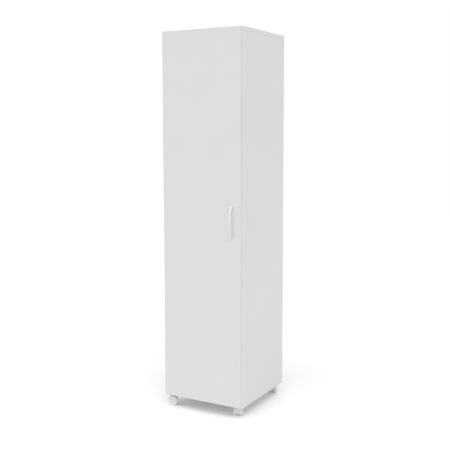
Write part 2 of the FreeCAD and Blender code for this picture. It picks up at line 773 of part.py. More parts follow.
def hinge_arm(number):
    """The arm: a channel of sheet steel with a pin across its nose."""
    body = new_body(f"{HINGE_NAMES[number]}_hinge_arm")
    pin_x, pin_y = ARM_PIN
    shape = new_sketch(body, "XY_Plane")
    draw_polygon(
        shape,
        [
            (ARM_LOW, "dims.arm_reach"),
            (ARM_LOW, "dims.arm_pin_lead"),
            (f"{pin_x} - dims.arm_nose_radius", pin_y),
            (f"{pin_x} + dims.arm_nose_radius", pin_y),
            (ARM_HIGH, "dims.arm_wall"),
            (ARM_HIGH, "dims.arm_reach"),
        ],
    )
    pad(body, shape, ARM_OUTSIDE, midplane=True)
    nose = new_sketch(body, "XY_Plane")
    draw_circle(nose, pin_x, pin_y, "dims.arm_nose_radius")
    pad(body, nose, ARM_OUTSIDE, midplane=True)

    channel = new_sketch(body, "XY_Plane")
    nose_end = f"{pin_y} - 2 * dims.arm_nose_radius"
    draw_polygon(
        channel,
        [
            (f"{ARM_LOW} - dims.arm_wall", nose_end),
            (f"{ARM_HIGH} + dims.arm_wall", nose_end),
            (f"{ARM_HIGH} + dims.arm_wall", "dims.arm_wall"),
            (f"{ARM_HIGH} - dims.arm_wall", "dims.arm_wall"),
            (f"{ARM_HIGH} - dims.arm_wall", "dims.arm_reach + dims.arm_wall"),
            (f"{ARM_LOW} - dims.arm_wall", "dims.arm_reach + dims.arm_wall"),
        ],
    )
    pocket(body, channel, ARM_INSIDE, midplane=True)

    pin = new_sketch(body, "XY_Plane")
    draw_circle(pin, pin_x, pin_y, "dims.hinge_pin_radius")
    pad(body, pin, ARM_OUTSIDE, midplane=True)
    hole = "dims.screw_radius + dims.pin_clearance"
    drill(body, "YZ_Plane", ARM_HIGH, [("dims.plate_line", "0")], hole, "dims.arm_wall")
    return place_hinge_piece(body, number)


def hinge_link(number):
    """The link: a bent strip with an eye at each end, between the arm's pin and the cup's pin."""
    body = new_body(f"{HINGE_NAMES[number]}_hinge_link")
    half = "dims.link_thickness / 2"
    middle_x = f"({ARM_PIN[0]} + {CUP_PIN[0]}) / 2"
    middle_y = f"({ARM_PIN[1]} + {CUP_PIN[1]}) / 2 - dims.link_sag"
    run = [CUP_PIN, (middle_x, middle_y), ARM_PIN]
    upper = [(x, f"{y} + {half}") for x, y in run]
    lower = [(x, f"{y} - {half}") for x, y in reversed(run)]
    strip = new_sketch(body, "XY_Plane")
    draw_polygon(strip, upper + lower)
    pad(body, strip, "dims.link_width", midplane=True)
    for x, y in (ARM_PIN, CUP_PIN):
        eye = new_sketch(body, "XY_Plane")
        draw_circle(eye, x, y, "dims.link_eye_radius")
        pad(body, eye, "dims.link_width", midplane=True)
    bores = new_sketch(body, "XY_Plane")
    for x, y in (ARM_PIN, CUP_PIN):
        draw_circle(bores, x, y, "dims.hinge_pin_radius + dims.pin_clearance")
    pocket(body, bores, "dims.link_width", midplane=True)
    return place_hinge_piece(body, number)


def hinge_cup(number):
    """The cup in the door, with its rim, two screw ears and the pin across it."""
    body = new_body(f"{HINGE_NAMES[number]}_hinge_cup")
    inside = "(dims.cup_radius - dims.cup_wall)"
    rim = "(dims.cup_radius + dims.cup_flange_width)"
    shell = new_sketch(body, "XY_Plane")
    draw_polygon(
        shell,
        [
            ("0", "-dims.cup_depth"),
            ("dims.cup_radius", "-dims.cup_depth"),
            ("dims.cup_radius", "0"),
            (rim, "0"),
            (rim, "dims.cup_flange_thickness"),
            (inside, "dims.cup_flange_thickness"),
            (inside, "dims.cup_wall - dims.cup_depth"),
            ("0", "dims.cup_wall - dims.cup_depth"),
        ],
    )
    revolve(body, shell, "V_Axis")

    ears = new_sketch(body, "XZ_Plane")
    ear_end = "(dims.cup_screw_span / 2 + dims.cup_ear_radius)"
    ear_width = "dims.cup_screw_offset + dims.cup_ear_radius"
    draw_rectangle(ears, "0", f"-{ear_end}", ear_width, f"2 * {ear_end}")
    pad(body, ears, "dims.cup_flange_thickness", backwards=True)
    mouth = [("0", "0")]
    drill(body, "XZ_Plane", "-dims.cup_flange_thickness", mouth, inside, "dims.cup_flange_thickness", True)

    holes = [("dims.cup_screw_offset", f"{half} * dims.cup_screw_span") for half in (-0.5, 0.5)]
    hole = "dims.wood_screw_radius + dims.pin_clearance"
    drill(body, "XZ_Plane", "-dims.cup_flange_thickness", holes, hole, "dims.cup_flange_thickness", True)

    pin_x = f"(dims.cup_pin_inset - dims.door_side_reveal - {CUP_LINE})"
    notch = new_sketch(body, "XY_Plane")
    notch_height = "dims.cup_notch_depth + dims.cup_flange_thickness"
    draw_rectangle(notch, f"-{rim}", "-dims.cup_notch_depth", f"{rim} + {pin_x}", notch_height)
    pocket(body, notch, ARM_INSIDE, midplane=True)

    pin = new_sketch(body, "XY_Plane")
    draw_circle(pin, pin_x, "dims.door_gap - dims.cup_pin_lead", "dims.hinge_pin_radius")
    pin_far_side = f"({pin_x} - dims.hinge_pin_radius)"
    pin_half_length = f"(sqrt(dims.cup_radius^2 - {pin_far_side}^2) - dims.pin_clearance)"
    pad(body, pin, f"2 * {pin_half_length}", midplane=True)
    x = f"{LEFT} + dims.door_side_reveal + {CUP_LINE}"
    place(body, x, DOOR_INNER, f"{DOOR_BOTTOM} + {HINGE_RISES[number]}")
    return body


def hinge_plate(number):
    """The mounting plate: a wing screwed to the side board and a block that carries the arm."""
    body = new_body(f"{HINGE_NAMES[number]}_hinge_plate")
    wing = new_sketch(body, "YZ_Plane", "dims.panel_thickness")
    wing_start = "dims.plate_line - dims.plate_width / 2"
    draw_rectangle(wing, wing_start, "-dims.plate_length / 2", "dims.plate_width", "dims.plate_length")
    pad(body, wing, "dims.plate_thickness")
    block = new_sketch(body, "YZ_Plane", "dims.panel_thickness")
    block_start = "dims.plate_line - dims.plate_block_length / 2"
    block_width = f"({ARM_INSIDE} - 2 * dims.seat_clearance)"
    draw_rectangle(block, block_start, f"-{block_width} / 2", "dims.plate_block_length", block_width)
    pad(body, block, "dims.arm_height - dims.arm_wall")

    holes = [("dims.plate_line", f"{half} * dims.plate_screw_span") for half in (-0.5, 0.5)]
    hole = "dims.plate_screw_radius + dims.pin_clearance"
    wing_face = "dims.panel_thickness + dims.plate_thickness"
    drill(body, "YZ_Plane", wing_face, holes, hole, "dims.plate_thickness")
    bore = "dims.screw_radius + dims.pin_clearance"
    top = f"{ARM_HIGH} - dims.arm_wall"
    drill(body, "YZ_Plane", top, [("dims.plate_line", "0")], bore, "dims.arm_screw_length")
    return place_hinge_piece(body, number)


def hinge_screws():
    """The three sets of hinge screws: cups to door, plates to side board, arms to plates."""
    cup_pattern = screw_pattern(
        "cup_screw_pattern", "dims.wood_screw_radius", "dims.wood_screw_length",
        "dims.flat_head_radius", "dims.flat_head_height",
    )
    plate_pattern = screw_pattern(
        "plate_screw_pattern", "dims.plate_screw_radius", "dims.plate_screw_length",
        "dims.screw_head_radius", "dims.flat_head_height",
    )
    arm_pattern = screw_pattern(
        "arm_screw_pattern", "dims.screw_radius", "dims.arm_screw_length",
        "dims.screw_head_radius", "dims.flat_head_height",
    )
    cup_seats = []
    plate_seats = []
    arm_seats = []
    for rise in HINGE_RISES:
        level = f"{DOOR_BOTTOM} + {rise}"
        for half in (-0.5, 0.5):
            x = f"{LEFT} + dims.door_side_reveal + {CUP_SCREW_LINE}"
            y = f"{DOOR_INNER} + dims.cup_flange_thickness"
            cup_seats.append((x, y, f"{level} + {half} * dims.cup_screw_span", facing((0, 1, 0))))
            x = f"{LEFT} + dims.panel_thickness + dims.plate_thickness"
            y = f"{FRONT} + dims.plate_line"
            plate_seats.append((x, y, f"{level} + {half} * dims.plate_screw_span", facing((1, 0, 0))))
        arm_seats.append((f"{LEFT} + {ARM_HIGH}", f"{FRONT} + dims.plate_line", level, facing((1, 0, 0))))
    return [
        set_of("hinge_cup_screws", cup_pattern, cup_seats),
        set_of("hinge_plate_screws", plate_pattern, plate_seats),
        set_of("hinge_arm_screws", arm_pattern, arm_seats),
    ]


# Castors. Each piece has its origin on the kingpin's axis at the carcass's underside. The wheels trail
# along the piece's own +X, and the piece is then turned to where the castor points.

AXLE_LEVEL = "(dims.wheel_radius - dims.castor_height)"
HOOD_INSIDE = "(dims.wheel_radius + dims.hood_clearance)"
HOOD_OUTSIDE = f"({HOOD_INSIDE} + dims.hood_thickness)"
WHEEL_START = "(dims.web_thickness / 2 + dims.wheel_gap)"
CASTOR_WIDTH = f"(2 * ({WHEEL_START} + dims.wheel_width))"


def place_castor_piece(body, name, swivels=True):
    """Put a castor piece under the carcass, turned with its castor if it swivels."""
    x, y = castor_place(name)
    if swivels:
        turn(body, f"dims.turn_{name}")
    place(body, f"{LEFT} + {x}", f"{FRONT} + {y}", BOTTOM)
    return body


def castor_plate(name):
    """The square top plate, with a hole for the kingpin's neck and four for the screws."""
    body = new_body(f"{name}_castor_plate")
    half = "dims.castor_plate_width / 2"
    outline = new_sketch(body, "XY_Plane")
    draw_rectangle(outline, f"-{half}", f"-{half}", "dims.castor_plate_width", "dims.castor_plate_width")
    plate = pad(body, outline, "dims.castor_plate_thickness", backwards=True)
    doc.recompute()
    corners = body.newObject("PartDesign::Fillet", f"{body.Name}_corners")
    uprights = [
        f"Edge{number}"
        for number, edge in enumerate(plate.Shape.Edges, start=1)
        if edge.BoundBox.ZLength > edge.BoundBox.XLength + edge.BoundBox.YLength
    ]
    corners.Base = (plate, uprights)
    corners.setExpression("Radius", "dims.castor_plate_round")

    neck_hole = "dims.kingpin_neck_radius + dims.bore_clearance"
    drill(body, "XY_Plane", "0", [("0", "0")], neck_hole, "dims.castor_plate_thickness")
    reach = "dims.castor_screw_span / 2"
    holes = [(f"{across} * {reach}", f"{along} * {reach}") for across, along in SCREW_CORNERS]
    hole = "dims.wood_screw_radius + dims.bore_clearance"
    drill(body, "XY_Plane", "0", holes, hole, "dims.castor_plate_thickness")
    return place_castor_piece(body, name, swivels=False)


def castor_kingpin(name):
    """The steel pin that the housing turns on, with a neck riveted into the plate."""
    body = new_body(f"{name}_castor_kingpin")
    neck = new_sketch(body, "XY_Plane")
    draw_circle(neck, "0", "0", "dims.kingpin_neck_radius")
    pad(body, neck, "dims.castor_plate_thickness", backwards=True)
    shaft = new_sketch(body, "XY_Plane", "-dims.castor_plate_thickness")
    draw_circle(shaft, "0", "0", "dims.kingpin_radius")
    pad(body, shaft, "dims.kingpin_length", backwards=True)
    return place_castor_piece(body, name, swivels=False)


def castor_housing(name):
    """The swivelling housing: a hub on the kingpin, a web between the wheels and a hood over them."""
    body = new_body(f"{name}_castor_housing")
    hood = new_sketch(body, "XZ_Plane")
    draw_circle(hood, "dims.trail", AXLE_LEVEL, HOOD_OUTSIDE)
    draw_circle(hood, "dims.trail", AXLE_LEVEL, HOOD_INSIDE)
    pad(body, hood, CASTOR_WIDTH, midplane=True)
    web = new_sketch(body, "XZ_Plane")
    draw_circle(web, "dims.trail", AXLE_LEVEL, HOOD_OUTSIDE)
    pad(body, web, "dims.web_thickness", midplane=True)
    below = new_sketch(body, "XZ_Plane")
    below_left = f"dims.trail - 2 * {HOOD_OUTSIDE}"
    below_low = f"{AXLE_LEVEL} + dims.hood_skirt - 2 * {HOOD_OUTSIDE}"
    draw_rectangle(below, below_left, below_low, f"4 * {HOOD_OUTSIDE}", f"2 * {HOOD_OUTSIDE}")
    pocket(body, below, f"2 * {CASTOR_WIDTH}", midplane=True)

    boss = new_sketch(body, "XZ_Plane")
    draw_circle(boss, "dims.trail", AXLE_LEVEL, "dims.web_radius")
    pad(body, boss, "dims.web_thickness", midplane=True)
    neck = new_sketch(body, "XZ_Plane")
    neck_left = "dims.trail - dims.web_radius"
    draw_rectangle(neck, neck_left, AXLE_LEVEL, "2 * dims.web_radius", "dims.hood_skirt")
    pad(body, neck, "dims.web_thickness", midplane=True)
    hub = new_sketch(body, "XY_Plane", "-dims.castor_plate_thickness - dims.swivel_gap")
    draw_circle(hub, "0", "0", "dims.hub_radius")
    pad(body, hub, "dims.hub_length", backwards=True)

    kingpin_bore = "dims.kingpin_radius + dims.pin_clearance"
    kingpin_depth = "dims.castor_plate_thickness + dims.kingpin_length + dims.swivel_gap"
    drill(body, "XY_Plane", "0", [("0", "0")], kingpin_bore, kingpin_depth)
    axle_bore = new_sketch(body, "XZ_Plane")
    draw_circle(axle_bore, "dims.trail", AXLE_LEVEL, "dims.axle_radius + dims.pin_clearance")
    pocket(body, axle_bore, f"2 * {CASTOR_WIDTH}", midplane=True)
    return place_castor_piece(body, name)


def castor_axle(name):
    """The steel axle across the housing, with an end in each wheel."""
    body = new_body(f"{name}_castor_axle")
    sketch = new_sketch(body, "XZ_Plane")
    draw_circle(sketch, "dims.trail", AXLE_LEVEL, "dims.axle_radius")
    pad(body, sketch, f"2 * ({WHEEL_START} + dims.axle_entry)", midplane=True)
    return place_castor_piece(body, name)


def castor_wheel(name, hand, side):
    """One of the two wheels: rounded tread, dished outer face with a cap, blind bore on the axle."""
    body = new_body(f"{name}_castor_{hand}_wheel")
    face = f"({WHEEL_START} + dims.wheel_width)"
    dish = f"({face} - dims.wheel_dish)"
    bore_end = f"({WHEEL_START} + dims.axle_entry + dims.seat_clearance)"
    bore = "(dims.axle_radius + dims.pin_clearance)"
    outline = [
        (WHEEL_START, bore),
        (WHEEL_START, "dims.wheel_radius"),
        (face, "dims.wheel_radius"),
        (face, "dims.wheel_dish_radius"),
        (dish, "dims.wheel_dish_radius"),
        (dish, "dims.wheel_cap_radius"),
        (face, "dims.wheel_cap_radius"),
        (face, "0"),
        (bore_end, "0"),
        (bore_end, bore),
    ]
    sketch = new_sketch(body, "YZ_Plane", "dims.trail", AXLE_LEVEL)
    draw_polygon(sketch, [(f"{side} * {y}", radius) for y, radius in outline])
    wheel = revolve(body, sketch, "H_Axis")
    round_rims(body, wheel, ["dims.wheel_radius"], "dims.wheel_round")
    return place_castor_piece(body, name)


def castor_screws():
    """Sixteen screws that hold the castor plates to the bottom board."""
    pattern = screw_pattern(
        "castor_screw_pattern", "dims.wood_screw_radius", "dims.wood_screw_length",
        "dims.flat_head_radius", "dims.flat_head_height",
    )
    reach = "dims.castor_screw_span / 2"
    z = f"{BOTTOM} - dims.castor_plate_thickness"
    seats = []
    for name in CASTOR_NAMES:
        x, y = castor_place(name)
        for across, along in SCREW_CORNERS:
            column = f"{LEFT} + {x} + {across} * {reach}"
            seats.append((column, f"{FRONT} + {y} + {along} * {reach}", z, facing((0, 0, -1))))
    return set_of("castor_screws", pattern, seats)


# The whole cupboard.


def castor(name):
    """The six pieces of one castor."""
    return [
        castor_plate(name),
        castor_kingpin(name),
        castor_housing(name),
        castor_axle(name),
        castor_wheel(name, "left", -1),
        castor_wheel(name, "right", 1),
    ]


def hinge(number):
    """The four pieces of one hinge."""
    return [hinge_cup(number), hinge_link(number), hinge_arm(number), hinge_plate(number)]


def build_cupboard():
    """Every sub-part, in the order in which the cupboard is put together."""
    sub_parts = [side_panel("side_panel_left", True), side_panel("side_panel_right", False)]
    sub_parts += [top_panel(), bottom_panel(), back_panel(), shelf()]
    sub_parts += [shelf_pins(), dowels(), cam_bolts(), cam_locks()]
    sub_parts += [door_panel(), handle(), handle_screws(), door_bumpers()]
    for number in range(len(HINGE_NAMES)):
        sub_parts += hinge(number)
    sub_parts += hinge_screws()
    for name in CASTOR_NAMES:
        sub_parts += castor(name)
    sub_parts.append(castor_screws())
    return sub_parts


def check_document(sub_parts):
    """Stop if any object failed, a cut removed nothing or a sub-part isn't a sound solid."""
    for item in doc.Objects:
        if "Invalid" in item.State or "Error" in item.State:
            raise SystemExit(f"{item.Name} failed: {item.State}")
        if item.TypeId == "PartDesign::Pocket":
            if item.Shape.Volume >= item.BaseFeature.Shape.Volume:
                raise SystemExit(f"{item.Name} cuts nothing")
    for part in sub_parts:
        if part.Shape.isNull() or not part.Shape.isValid() or not part.Shape.Solids:
            raise SystemExit(f"{part.Label} has no valid solid")


def write_parts(sub_parts):
    """Write each sub-part to a STEP file of its own."""
    os.makedirs("parts", exist_ok=True)
    for part in sub_parts:
        part.Shape.exportStep(f"parts/{part.Label}.step")
        print(part.Label, len(part.Shape.Solids), round(part.Shape.Volume))


cupboard = build_cupboard()
doc.recompute()
check_document(cupboard)
write_parts(cupboard)
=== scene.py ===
import json
import math

import bmesh
import bpy
from mathutils import Matrix, Vector


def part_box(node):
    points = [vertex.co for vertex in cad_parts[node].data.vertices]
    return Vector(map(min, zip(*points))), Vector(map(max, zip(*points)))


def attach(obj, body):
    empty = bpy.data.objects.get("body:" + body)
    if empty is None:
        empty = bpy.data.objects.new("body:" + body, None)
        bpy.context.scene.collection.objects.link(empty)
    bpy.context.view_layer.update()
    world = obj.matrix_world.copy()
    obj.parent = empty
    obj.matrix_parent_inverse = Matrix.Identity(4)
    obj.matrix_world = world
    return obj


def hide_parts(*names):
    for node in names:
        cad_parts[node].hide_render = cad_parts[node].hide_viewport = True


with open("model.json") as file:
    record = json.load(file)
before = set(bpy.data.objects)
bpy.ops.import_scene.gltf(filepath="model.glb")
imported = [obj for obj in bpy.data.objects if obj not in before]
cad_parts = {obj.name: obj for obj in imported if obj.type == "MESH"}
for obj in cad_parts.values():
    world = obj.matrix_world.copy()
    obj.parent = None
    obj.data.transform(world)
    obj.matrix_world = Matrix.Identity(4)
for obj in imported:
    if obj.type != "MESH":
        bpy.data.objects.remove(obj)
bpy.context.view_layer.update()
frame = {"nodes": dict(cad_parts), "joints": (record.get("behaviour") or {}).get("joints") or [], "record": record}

# Lengths are in metres. Left and right are as seen by someone who faces the door.
MM = 0.001
UP = Vector((0, 0, 1))
BOARDS = ("side_panel_left", "side_panel_right", "top_panel", "bottom_panel", "shelf", "door_panel")
CASTORS = ("front_left", "front_right", "back_left", "back_right")
HINGES = ("bottom", "lower", "upper", "top")
JOINTS = {joint["name"]: joint for joint in frame["joints"]}
BODY_OF = {
    node: body for body, nodes in frame["record"]["behaviour"]["bodies"].items() for node in nodes
}

# Surface colours, linear.
WHITE_BOARD = (0.735, 0.735, 0.737)
# Painted light: the carcass's front edging is lighter than the faces, to lift the shade in the door's gap.
PAINTED_LIGHT_EDGING = (0.92, 0.92, 0.92)
WHITE_LACQUER = (0.80, 0.80, 0.80)
WHITE_PLASTIC = (0.90, 0.90, 0.90)
CHIP_LIGHT = (0.42, 0.30, 0.18)
CHIP_DARK = (0.19, 0.125, 0.07)
BEECH = (0.52, 0.35, 0.19)
NICKEL = (0.62, 0.60, 0.57)
ZINC = (0.60, 0.61, 0.62)
ALLOY = (0.42, 0.42, 0.43)
FLOOR = (0.84, 0.84, 0.84)
WHITE = (1, 1, 1)

# The edge strip of a board, the seam beside it, and the skin on the board's faces.
EDGING, SEAM_WIDTH, FACE_SKIN = 1.0 * MM, 0.22 * MM, 0.45 * MM

# The edges of the pressed hinge pieces and of the castor pieces are rounded by these widths.
HINGE_ROUNDING = {"cup": 0.25 * MM, "link": 0.3 * MM, "arm": 0.35 * MM, "plate": 0.4 * MM}
HOUSING_ROUNDING, HOUSING_STEPS = 0.6 * MM, 3
PLATE_ROUNDING = 0.4 * MM
HARD_EDGE = math.radians(40)

# Meshes: points closer than this are one, and faces that meet at less than this angle are flat.
MERGE_DISTANCE = 0.001 * MM
FLAT_ANGLE = math.radians(0.5)

# Screws. Each is turned by this angle, in radians, from the one before it.
SCREW_TURN, SCREW_SIDES = 0.7, 40

# Handle. The bar is swept past its ends by the overshoot and then cut. The powers shape its
# section: 1 is round, and less is squarer.
BAR_THICKNESS, END_RISE, HOLE_SPAN = 6 * MM, 6.5 * MM, 128 * MM
BAR_SIDES, BAR_STATIONS, BAR_OVERSHOOT = 28, 72, 1.12
SIDE_POWER, CROWN_POWER, BACK_POWER = 0.42, 0.75, 0.5
FOOT_RADIUS, FOOT_HEIGHT, FOOT_SIDES = 4.5 * MM, 3.2 * MM, 32

# Castor wheel. Its face is the side with the dish, the spokes and the cap.
WHEEL_WIDTH, WHEEL_SIDES = 15 * MM, 100
TREAD_ROUNDING, TREAD_STEPS = 3.5 * MM, 7
BORE_RADIUS, BORE_DEPTH = 2.55 * MM, 6 * MM
DISH_RADIUS, DISH_DEPTH = 15 * MM, 1.2 * MM
CAP_RADIUS, CAP_STEP, CAP_BEVEL = 6 * MM, 0.1 * MM, 0.5 * MM
LIP = 0.4 * MM

# Grooves in the tread: their middles as shares of its width, and half widths at top and floor.
GROOVE_PLACES, GROOVE_DEPTH = (-0.16, 0.16), 0.35 * MM
GROOVE_HALF_TOP, GROOVE_HALF_FLOOR = 0.5 * MM, 0.3 * MM

# Pockets between the spokes. The shares place rings of points from the outer to the inner edge.
POCKET_INNER, POCKET_OUTER = CAP_RADIUS + 0.9 * MM, DISH_RADIUS - 1.0 * MM
POCKET_SHARES = (0, 0.12, 0.3, 0.5, 0.7, 0.88, 1)
POCKET_DEPTH, SPOKES, SPOKE_SHARE = 2.6 * MM, 5, 0.30

# Bumpers: the height of the wall under the dome, and the dome's steps in degrees.
BUMPER_WALL, BUMPER_SIDES, DOME_STEP = 0.5 * MM, 32, 10

# Stage and light. A sun's distance has no effect on its light.
FLOOR_HALF, FLOOR_ROUGHNESS, FLOOR_GLOSS = 9.0, 0.9, 0.1
SUN_DISTANCE = 5

# The camera that was fitted to the photo. Lengths on the picture are in pixels, angles in
# degrees. The camera sees as far as its reach.
PICTURE_PIXELS, FOCAL_PIXELS, CENTRE_RISE = 450, 767.09, 18.97
CAMERA_TURN, CAMERA_TILT, CAMERA_ROLL = 29.330, 5.571, -0.094
CAMERA_PLACE, CAMERA_REACH = (1.7603, -3.1202, 1.2845), 60
SENSOR_MM = 36.0


# Materials. Every one is built from nodes on the object's own coordinates, which are in metres.


class Graph:
    """A small helper to build one material's nodes."""

    def __init__(self, name):
        self.material = bpy.data.materials.new(name)
        self.material.use_nodes = True
        self.tree = self.material.node_tree
        self.shader = self.tree.nodes["Principled BSDF"]
        self.coords = self.tree.nodes.new("ShaderNodeTexCoord").outputs["Object"]

    def link(self, output, target):
        """Join an output to an input of the tree."""
        self.tree.links.new(output, target)

    def node(self, kind, **settings):
        """A node with some of its settings."""
        node = self.tree.nodes.new(kind)
        for key, value in settings.items():
            setattr(node, key, value)
        return node

    def noise(self, scale, detail, stretch=(1, 1, 1)):
        """Noise of a scale per metre, drawn out along the axes."""
        mapping = self.node("ShaderNodeMapping")
        mapping.inputs["Scale"].default_value = stretch
        self.link(self.coords, mapping.inputs["Vector"])
        noise = self.node("ShaderNodeTexNoise")
        noise.inputs["Scale"].default_value = scale
        noise.inputs["Detail"].default_value = detail
        self.link(mapping.outputs["Vector"], noise.inputs["Vector"])
        return noise.outputs["Fac"]

    def cells(self, scale):
        """Random colours of cells of a scale per metre. As a number it is a random grey."""
        cells = self.node("ShaderNodeTexVoronoi")
        cells.inputs["Scale"].default_value = scale
        self.link(self.coords, cells.inputs["Vector"])
        return cells.outputs["Color"]

    def math(self, operation, first, second=None, third=None):
        """One arithmetic step. Each argument is a number or an output."""
        node = self.node("ShaderNodeMath", operation=operation)
        for index, value in enumerate((first, second, third)):
            if value is None:
                continue
            if isinstance(value, (int, float)):
                node.inputs[index].default_value = value
            else:
                self.link(value, node.inputs[index])
        return node.outputs["Value"]

    def mixed(self, first, second, share):
        """Two values added, the first by a share and the second by the rest."""
        return self.math("MULTIPLY_ADD", first, share, self.math("MULTIPLY", second, 1 - share))

    def ramp(self, value, low, high, start=0.0, end=1.0):
        """A value mapped from the range start to end onto low to high, and held there."""
        node = self.node("ShaderNodeMapRange", clamp=True)
        limits = {"From Min": start, "From Max": end, "To Min": low, "To Max": high}
        for key, number in limits.items():
            node.inputs[key].default_value = number
        self.link(value, node.inputs["Value"])
        return node.outputs["Result"]

    def stretched(self, value, start=0.3, end=0.7):
        """A value with its range from start to end drawn out to 0 to 1."""
        return self.ramp(value, 0, 1, start, end)

    def blend(self, factor, first, second):
        """A colour between two others. Each is a colour or an output."""
        node = self.node("ShaderNodeMix", data_type="RGBA")
        self.link(factor, node.inputs["Factor"])
        for socket, colour in ((node.inputs["A"], first), (node.inputs["B"], second)):
            if isinstance(colour, tuple):
                socket.default_value = (*colour, 1)
            else:
                self.link(colour, socket)
        return node.outputs["Result"]

    def bump(self, height, distance):
        """Relief of a depth in metres on the shader."""
        node = self.node("ShaderNodeBump")
        node.inputs["Distance"].default_value = distance
        node.inputs["Strength"].default_value = 1.0
        self.link(height, node.inputs["Height"])
        self.link(node.outputs["Normal"], self.shader.inputs["Normal"])

    def roughness(self, factor, low, high):
        """Roughness that wanders between two values."""
        self.link(self.ramp(factor, low, high), self.shader.inputs["Roughness"])

    def tint(self, factor, first, second):
        """Base colour that wanders between two colours."""
        self.link(self.blend(factor, first, second), self.shader.inputs["Base Color"])


def shade(colour, share):
    """A colour made darker or lighter by a share."""
    return tuple(channel * share for channel in colour)


def chipboard(graph):
    """The raw core of a board: pressed chips of light and dark wood."""
    chips = graph.math("MULTIPLY", graph.cells(scale=900), graph.noise(scale=300, detail=4))
    return graph.blend(graph.stretched(chips, start=0.05, end=0.45), CHIP_DARK, CHIP_LIGHT)


def board_material(node):
    """White melamine faces, edge strips with a fine seam, and chipboard inside bores and grooves.

    The carcass's front edging is painted lighter than the faces: painted light that lifts the
    shade in the gap beside the door, so that the gap looks faint.
    """
    mottle, gloss = 0.012, 0.35
    seam_tone, seam_share, seam_depth = 0.62, 0.35, 1.2
    core_roughness, coarse_share, relief = 0.85, 0.6, 0.03 * MM

    graph = Graph(f"{node}_melamine")
    low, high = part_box(node)
    middle, half = (low + high) / 2, (high - low) / 2
    thin = min(range(3), key=lambda axis: half[axis])
    place = graph.node("ShaderNodeSeparateXYZ")
    graph.link(graph.coords, place.inputs["Vector"])
    depths = []
    for axis in range(3):
        offset = graph.math("ABSOLUTE", graph.math("SUBTRACT", place.outputs[axis], middle[axis]))
        depths.append(graph.math("SUBTRACT", half[axis], offset))
    from_face = depths.pop(thin)
    from_edge = graph.math("MINIMUM", *depths)
    seam = graph.math("COMPARE", from_edge, EDGING, SEAM_WIDTH / 2)
    below_face = graph.math("GREATER_THAN", from_face, FACE_SKIN)
    behind_edge = graph.math("GREATER_THAN", from_edge, EDGING)
    core = graph.math("MULTIPLY", below_face, behind_edge)

    cloud = graph.stretched(graph.noise(scale=5, detail=3))
    face = graph.blend(cloud, shade(WHITE_BOARD, 1 - mottle), shade(WHITE_BOARD, 1 + mottle))
    if node != "door_panel":
        # Painted light: the carcass boards' front edges are lighter, to lift the shade in the gap beside the door.
        painted_light_edge = graph.math("LESS_THAN", place.outputs["Y"], low.y + EDGING)
        face = graph.blend(painted_light_edge, face, PAINTED_LIGHT_EDGING)
    seam_mix = graph.math("MULTIPLY", seam, seam_share)
    seamed = graph.blend(seam_mix, face, shade(WHITE_BOARD, seam_tone))
    graph.tint(core, seamed, chipboard(graph))

    satin = graph.ramp(graph.noise(scale=40, detail=3), low=0.40, high=0.48)
    rough = graph.math("MAXIMUM", satin, graph.math("MULTIPLY", core, core_roughness))
    graph.link(rough, graph.shader.inputs["Roughness"])
    graph.shader.inputs["Specular IOR Level"].default_value = gloss
    fine, coarse = graph.noise(scale=1100, detail=2), graph.noise(scale=260, detail=2)
    pebble = graph.math("ADD", fine, graph.math("MULTIPLY", coarse, coarse_share))
    dented = graph.math("SUBTRACT", pebble, graph.math("MULTIPLY", seam, seam_depth))
    graph.bump(dented, relief)
    return graph.material


def back_board_material():
    """White lacquered hardboard: smoother than melamine, with faint long fibres in the lacquer."""
    darkest, lightest = 0.955, 0.985
    graph = Graph("white_hardboard")
    fibres = graph.noise(scale=120, detail=5, stretch=(1, 1, 0.12))
    graph.tint(graph.stretched(fibres), shade(WHITE_BOARD, darkest), shade(WHITE_BOARD, lightest))
    graph.roughness(graph.noise(scale=60, detail=3), low=0.42, high=0.55)
    graph.bump(fibres, distance=0.04 * MM)
    return graph.material


def beech_material():
    """Plain beech with a fine grain."""
    darkest = 0.8
    graph = Graph("beech")
    grain = graph.noise(scale=900, detail=5, stretch=(0.3, 1, 0.3))
    graph.tint(graph.stretched(grain), shade(BEECH, darkest), BEECH)
    graph.roughness(grain, low=0.55, high=0.75)
    graph.bump(grain, distance=0.05 * MM)
    return graph.material


def metal_material(name, colour, low, high, streak=(1, 1, 1)):
    """Plated or cast metal: an uneven gloss, faint streaks and a little dulling."""
    darkest, streak_share = 0.86, 0.6
    graph = Graph(name)
    graph.shader.inputs["Metallic"].default_value = 1.0
    dull = graph.noise(scale=70, detail=4)
    graph.tint(graph.stretched(dull, end=0.75), shade(colour, darkest), colour)
    marks = graph.noise(scale=1600, detail=3, stretch=streak)
    graph.roughness(graph.mixed(marks, dull, streak_share), low, high)
    graph.bump(marks, distance=0.004 * MM)
    return graph.material


def plastic_material(name, colour, low, high, grain, depth):
    """Moulded plastic or lacquer with a fine skin texture and a slight change of tone."""
    darkest, skin_share = 0.97, 0.5
    graph = Graph(name)
    cloud = graph.noise(scale=45, detail=3)
    graph.tint(graph.stretched(cloud), shade(colour, darkest), colour)
    skin = graph.noise(scale=grain, detail=3)
    graph.roughness(graph.mixed(skin, cloud, skin_share), low, high)
    graph.bump(skin, depth)
    return graph.material


